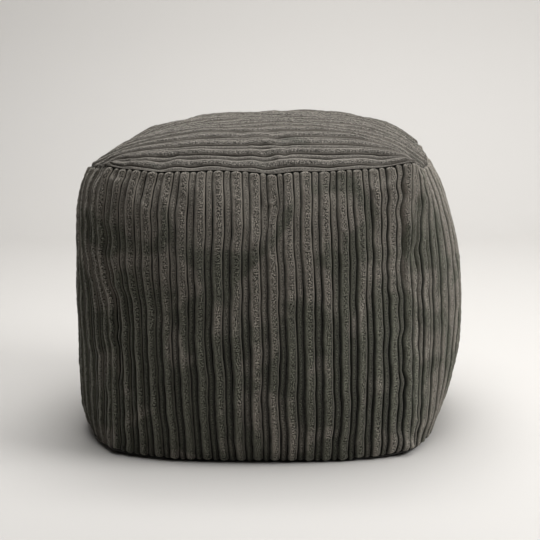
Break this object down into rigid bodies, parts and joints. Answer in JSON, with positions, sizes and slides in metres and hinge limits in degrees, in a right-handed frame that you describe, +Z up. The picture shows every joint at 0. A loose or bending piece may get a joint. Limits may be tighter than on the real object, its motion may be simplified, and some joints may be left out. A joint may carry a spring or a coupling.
{
  "type": "bean bag footstool",
  "caption": "Soft cube bean bag footstool in dark wide-waled cord, with bulging walls, a crowned seat panel and plain seams",
  "frame": {"origin": "middle of the base, on the surface it stands on", "axes": "+Z up, the front panel faces -Y, +X to the right as seen from the front"},
  "size_m": [0.5758, 0.5514, 0.4599],
  "materials": {
    "top_cord": "warm charcoal wide-waled cord, brushed pile",
    "wall_cord": "warm charcoal wide-waled cord, brushed pile",
    "base_cloth": "plain dark woven cloth"
  },
  "bodies": {
    "root": {"top_panel": "top_cord", "front_panel": "wall_cord", "back_panel": "wall_cord", "left_panel": "wall_cord", "right_panel": "wall_cord", "base_panel": "base_cloth"}
  },
  "joints": []
}
